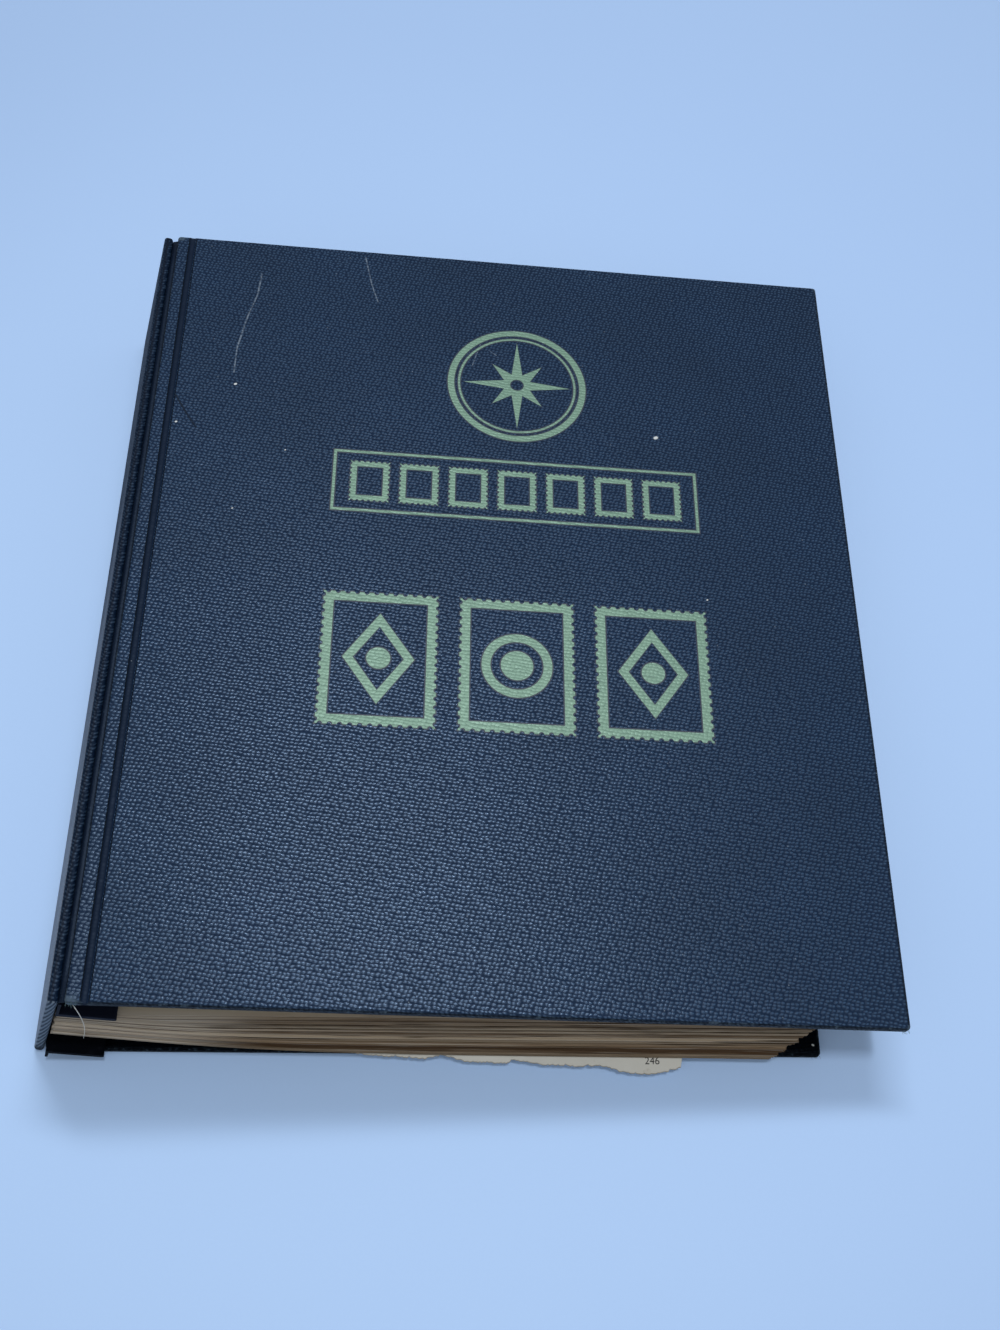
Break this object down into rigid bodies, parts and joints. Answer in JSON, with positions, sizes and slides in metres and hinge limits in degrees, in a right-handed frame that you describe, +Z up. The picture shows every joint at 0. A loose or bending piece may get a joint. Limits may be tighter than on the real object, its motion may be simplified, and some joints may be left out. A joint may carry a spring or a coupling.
{
  "type": "stamp album",
  "caption": "Thick post-bound stamp album with leatherette covers hinged to a leaning spine, leaves clamped between two flaps by screw posts, and front leaves that turn.",
  "frame": {"origin": "middle of the back cover's underside, on the surface that the shut album lies on", "axes": "+X from the spine to the fore-edge, +Y from the tail to the head, +Z up through the front cover"},
  "size_m": [0.2768, 0.3046, 0.0631],
  "materials": {
    "binders_board": "pressed grey-brown binder's board",
    "cover_cloth": "dark navy pebble-grain leatherette, worn and scuffed",
    "spine_cloth": "dark navy pebble-grain leatherette",
    "lining_paper": "plain aged lining paper",
    "flap_steel": "plain strip steel",
    "flap_cloth": "dark woven book cloth",
    "post_metal": "dull brass",
    "leaf_paper": "aged tan paper with brown stained edges",
    "title_paper": "aged cream paper",
    "torn_paper": "pale aged paper, ragged edge"
  },
  "bodies": {
    "binding": {"spine_board": "binders_board", "spine_cloth": "spine_cloth", "spine_lining": "lining_paper", "front_hinge_cloth": "cover_cloth", "back_hinge_cloth": "cover_cloth", "front_flap_bar": "flap_steel", "front_flap_cloth": "flap_cloth", "back_flap_bar": "flap_steel", "back_flap_cloth": "flap_cloth", "post_barrels": "post_metal", "post_screws": "post_metal", "leaf_section_1": "leaf_paper", "leaf_section_2": "leaf_paper", "leaf_section_3": "leaf_paper", "leaf_section_4": "leaf_paper", "leaf_section_5": "leaf_paper", "leaf_section_6": "leaf_paper", "leaf_section_7": "leaf_paper", "leaf_section_8": "leaf_paper", "leaf_section_9": "leaf_paper", "front_leaf_stubs": "leaf_paper", "torn_leaf": "torn_paper"},
    "front_cover": {"front_board": "binders_board", "front_edge_strip": "binders_board", "front_cover_cloth": "cover_cloth", "front_lining": "lining_paper"},
    "back_cover": {"back_board": "binders_board", "back_edge_strip": "binders_board", "back_cover_cloth": "cover_cloth", "back_lining": "lining_paper"},
    "turning_leaves": {"front_leaves": "leaf_paper", "title_leaf": "title_paper"}
  },
  "joints": [
    {"name": "front_cover_open", "type": "hinge", "parent": "binding", "child": "front_cover", "pos_m": [-0.10581, 0, 0.06362], "axis": [0, -1, 0], "range_deg": [0, 199], "deforming": ["front_hinge_cloth"]},
    {"name": "back_cover_open", "type": "hinge", "parent": "binding", "child": "back_cover", "pos_m": [-0.1272, 0, -0.0003], "axis": [0, 1, 0], "range_deg": [0, 180], "deforming": ["back_hinge_cloth"]},
    {"name": "leaf_turn", "type": "hinge", "parent": "binding", "child": "turning_leaves", "pos_m": [-0.06772, 0, 0.03699], "axis": [0, -1, 0], "range_deg": [0, 138]}
  ],
  "couplings": [
    {"joint": "leaf_turn", "follows": "front_cover_open", "ratio": 0.693}
  ]
}
